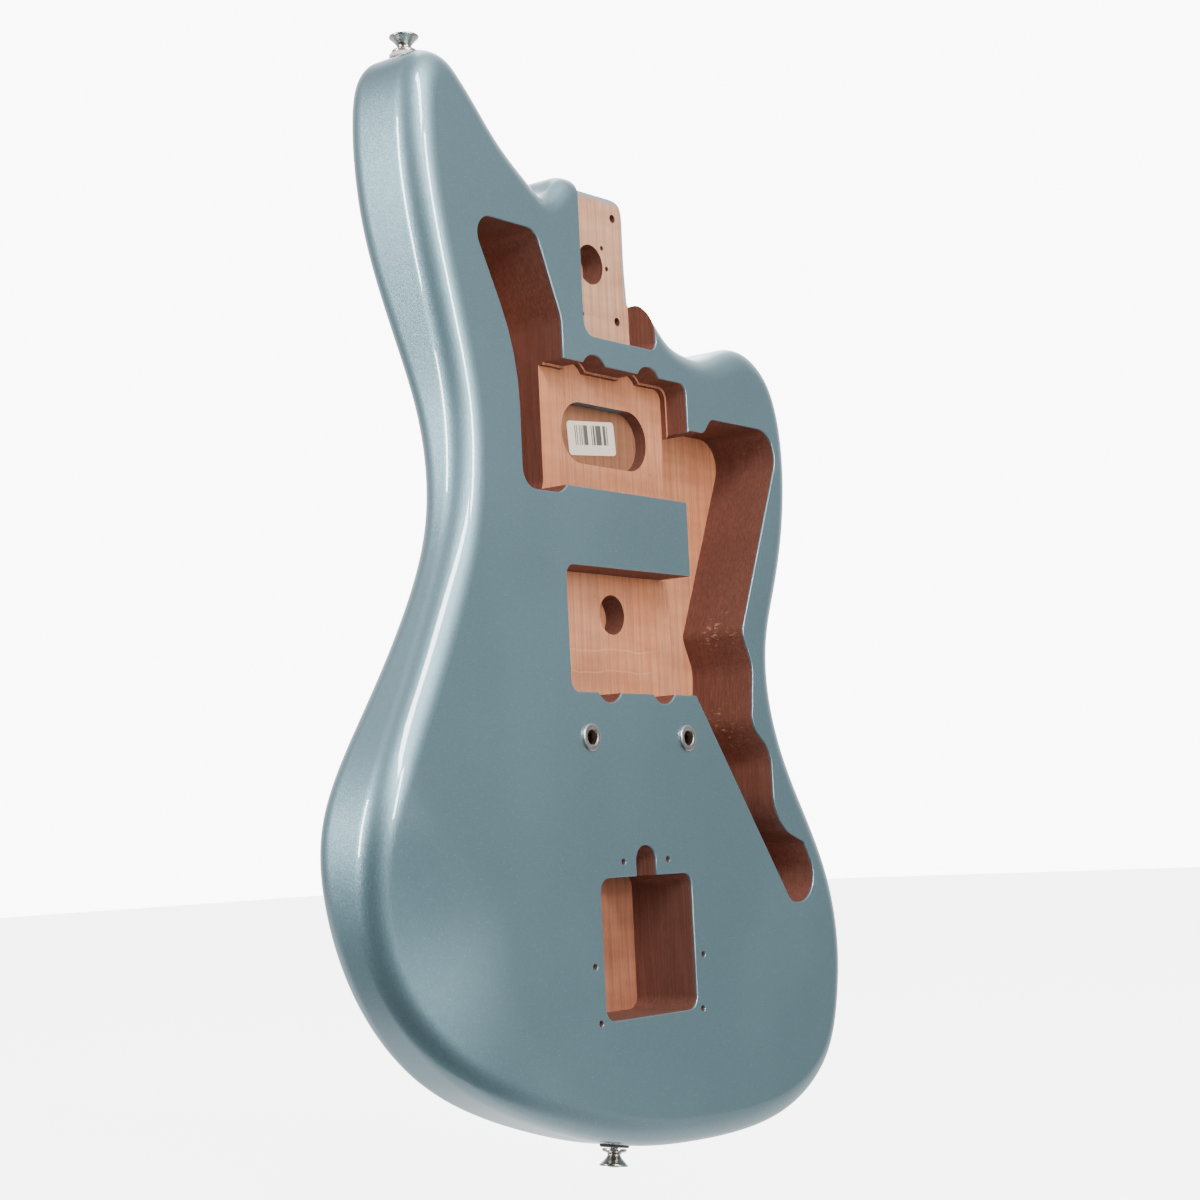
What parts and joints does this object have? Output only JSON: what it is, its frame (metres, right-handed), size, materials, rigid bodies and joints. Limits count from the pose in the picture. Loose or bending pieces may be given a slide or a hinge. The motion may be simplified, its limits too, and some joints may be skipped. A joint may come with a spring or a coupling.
{
  "type": "electric guitar body",
  "caption": "Bare solid electric guitar body with offset waist, neck pocket, pickup, switch, control and tremolo routs, bridge post thimbles and strap buttons, lacquered with raw wood cavities.",
  "frame": {"origin": "centre line of the body on the floor of the neck pocket, midway between the two lower neck screw holes", "axes": "+Z towards the neck along the centre line, +X towards the treble side, +Y from the face to the back"},
  "size_m": [0.3423, 0.0457, 0.505],
  "materials": {
    "lacquered_wood": "gloss metallic ice-blue lacquer outside, raw wood in the cavities",
    "thimble_metal": "worn nickel plate",
    "button_metal": "satin nickel plate",
    "screw_metal": "nickel plate",
    "pale_felt": "pressed felt",
    "dark_felt": "pressed felt",
    "label_paper": "matte"
  },
  "bodies": {
    "root": {"board_bass": "lacquered_wood", "board_treble": "lacquered_wood", "bridge_thimble_bass": "thimble_metal", "bridge_thimble_treble": "thimble_metal", "strap_washer_upper": "pale_felt", "strap_button_upper": "button_metal", "strap_screw_upper": "screw_metal", "strap_washer_lower": "dark_felt", "strap_button_lower": "button_metal", "strap_screw_lower": "screw_metal", "label": "label_paper"}
  },
  "joints": []
}
